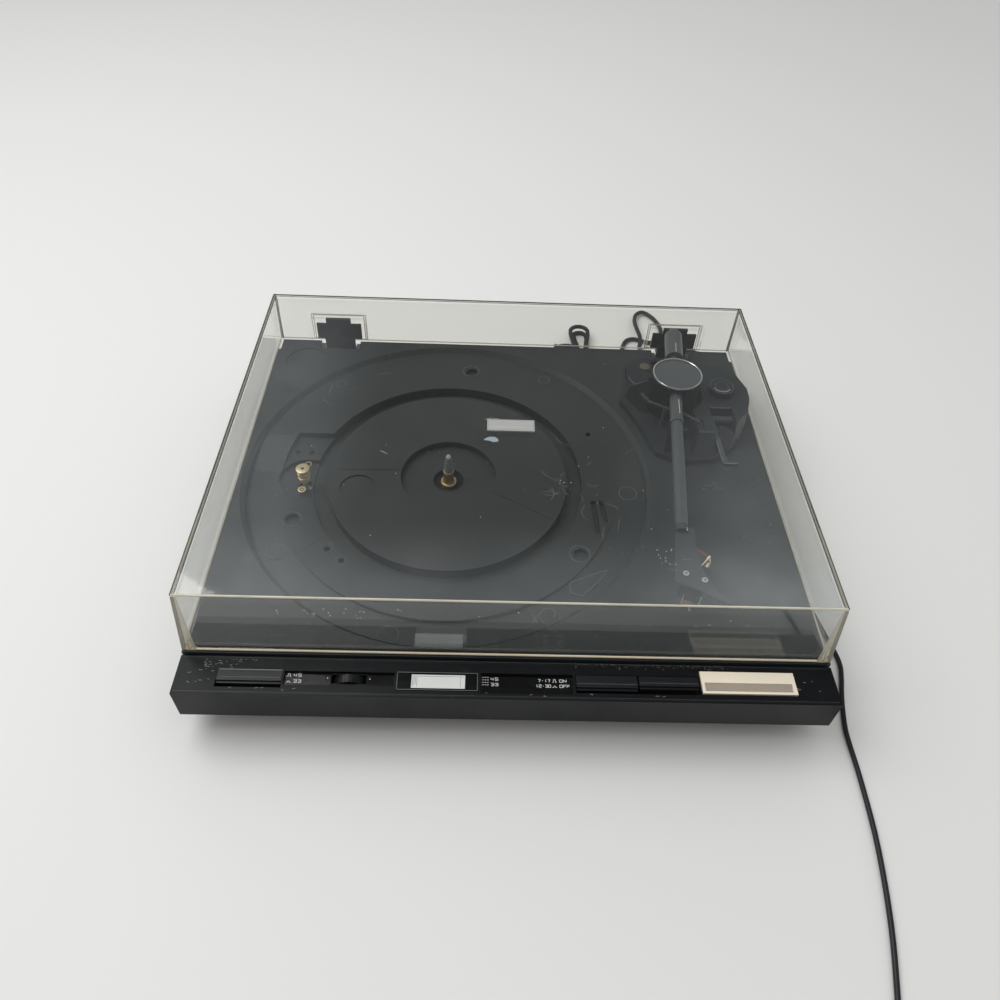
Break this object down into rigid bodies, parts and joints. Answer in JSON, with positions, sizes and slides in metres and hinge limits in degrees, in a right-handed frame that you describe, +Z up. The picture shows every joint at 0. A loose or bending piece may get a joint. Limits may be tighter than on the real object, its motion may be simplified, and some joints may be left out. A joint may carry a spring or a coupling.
{
  "type": "automatic turntable",
  "caption": "Automatic turntable with its clear dust cover closed, no platter fitted: dark plinth and well, straight tonearm, front control bar, cords at the back",
  "frame": {"origin": "middle of the case's footprint, on the plane the feet stand on", "axes": "+X to the right seen from the front, +Y from the control bar to the hinges, +Z up"},
  "size_m": [0.4517, 0.7155, 0.0989],
  "materials": {
    "deck_grey": "satin moulding",
    "bar_black": "satin moulding",
    "clear": "clear, polished",
    "silver": "brushed",
    "cream": "satin",
    "pane": "gloss",
    "light_guide": "clear, ribbed",
    "brass": "turned",
    "steel": "ground",
    "ring_dark": "satin",
    "shell_grey": "satin",
    "nylon": "moulded",
    "needle_holder": "moulded",
    "lead_red": "sleeved wire",
    "lead_white": "sleeved wire",
    "pad_tan": "soft pad",
    "rubber": "matt",
    "cord_black": "sleeved cord",
    "cord_grey": "sleeved cord",
    "board": "printed board",
    "lamp": "glow lamp",
    "base_board": "pressed board"
  },
  "bodies": {
    "case": {"plinth": "deck_grey", "control_fascia": "bar_black", "hinge_socket_left": "steel", "hinge_socket_right": "steel", "strobe_window": "bar_black", "strobe_lens": "pane", "strobe_prism": "light_guide", "bearing_housing": "ring_dark", "tonearm_base": "deck_grey", "arm_rest": "bar_black", "bottom_cover": "base_board", "foot_front_left": "rubber", "foot_front_right": "rubber", "foot_rear_left": "rubber", "foot_rear_right": "rubber", "motor_can": "steel", "transformer": "steel", "control_board": "board", "strobe_lamp": "lamp", "thrust_cup": "steel", "cam_axle": "steel", "arm_pivot_post": "steel", "power_relief": "rubber", "phono_relief": "rubber", "power_cord_start": "cord_black", "power_cord_coil": "cord_black", "power_cord_run": "cord_black", "power_plug": "cord_black", "phono_cord_start": "cord_grey", "phono_hank": "cord_grey", "phono_cord_run": "cord_grey", "phono_plug": "cord_grey"},
    "lid": {"dust_cover": "clear", "name_plate": "silver", "hinge_leaf_left": "bar_black", "hinge_leaf_right": "bar_black"},
    "spindle": {"spindle_shaft": "steel", "platter_seat": "brass", "drive_pinion": "nylon"},
    "cam": {"cam_gear": "nylon"},
    "pulley": {"motor_pulley": "brass"},
    "arm_carrier": {"arm_drum": "bar_black", "arm_cap": "bar_black"},
    "arm": {"arm_tube": "silver", "headshell": "shell_grey", "cartridge": "bar_black", "stylus_unit": "needle_holder", "cartridge_screw_left": "steel", "cartridge_screw_right": "steel", "head_lead_red": "lead_red", "head_lead_white": "lead_white"},
    "weight": {"counterweight": "silver"},
    "lifter": {"arm_lifter": "pad_tan"},
    "cue": {"cue_lever": "bar_black"},
    "antiskate": {"antiskate_knob": "bar_black"},
    "speed_key": {"speed_button": "bar_black"},
    "disc_size_key": {"disc_size_button": "bar_black"},
    "repeat_key": {"repeat_button": "bar_black"},
    "start_stop_key": {"start_stop_button": "cream"},
    "wheel": {"speed_wheel": "bar_black"}
  },
  "joints": [
    {"name": "lid_hinge", "type": "hinge", "parent": "case", "child": "lid", "pos_m": [0, 0.1706, 0.0409], "axis": [-1, 0, 0], "range_deg": [0, 60]},
    {"name": "cam_turn", "type": "hinge", "parent": "case", "child": "cam", "pos_m": [-0.00874, -0.01489, 0.027], "axis": [0, 0, 1], "continuous": true},
    {"name": "spindle_turn", "type": "hinge", "parent": "case", "child": "spindle", "pos_m": [-0.0467, 0.0117, 0.04], "axis": [0, 0, 1], "continuous": true},
    {"name": "pulley_turn", "type": "hinge", "parent": "case", "child": "pulley", "pos_m": [-0.1583, 0.00358, 0.04], "axis": [0, 0, 1], "continuous": true},
    {"name": "arm_swing", "type": "hinge", "parent": "case", "child": "arm_carrier", "pos_m": [0.1391, 0.092, 0.0789], "axis": [0, 0, -1], "range_deg": [0, 46]},
    {"name": "arm_tilt", "type": "hinge", "parent": "arm_carrier", "child": "arm", "pos_m": [0.1391, 0.092, 0.0789], "axis": [-0.9921, 0.1253, 0], "range_deg": [0, 1.5]},
    {"name": "weight_slide", "type": "slide", "parent": "arm", "child": "weight", "axis": [-0.1253, -0.9921, 0], "range_m": [-0.003, 0.005]},
    {"name": "cue_rock", "type": "hinge", "parent": "case", "child": "cue", "pos_m": [0.17645, 0.0676, 0.0614], "axis": [1, 0, 0], "range_deg": [0, 9.05]},
    {"name": "lifter_drop", "type": "slide", "parent": "case", "child": "lifter", "axis": [0, 0, -1], "range_m": [0, 0.004]},
    {"name": "antiskate_turn", "type": "hinge", "parent": "case", "child": "antiskate", "pos_m": [0.1803, 0.09607, 0.07], "axis": [0, 0, 1], "range_deg": [0, 270]},
    {"name": "speed_press", "type": "slide", "parent": "case", "child": "speed_key", "axis": [0, 0, -1], "range_m": [0, 0.002], "stiffness_N_per_m": 600, "springref_m": -0.001},
    {"name": "disc_size_press", "type": "slide", "parent": "case", "child": "disc_size_key", "axis": [0, 0, -1], "range_m": [0, 0.002], "stiffness_N_per_m": 600, "springref_m": -0.001},
    {"name": "repeat_press", "type": "slide", "parent": "case", "child": "repeat_key", "axis": [0, 0, -1], "range_m": [0, 0.002], "stiffness_N_per_m": 600, "springref_m": -0.001},
    {"name": "start_stop_press", "type": "slide", "parent": "case", "child": "start_stop_key", "axis": [0, 0, -1], "range_m": [0, 0.002], "stiffness_N_per_m": 600, "springref_m": -0.001},
    {"name": "speed_wheel_turn", "type": "hinge", "parent": "case", "child": "wheel", "pos_m": [-0.10177, -0.16764, 0.03425], "axis": [0, 1, 0], "range_deg": [-135, 135]}
  ],
  "couplings": [
    {"joint": "spindle_turn", "follows": "cam_turn", "ratio": -6},
    {"joint": "cue_rock", "follows": "lifter_drop", "rad_per_m": 39.27}
  ]
}
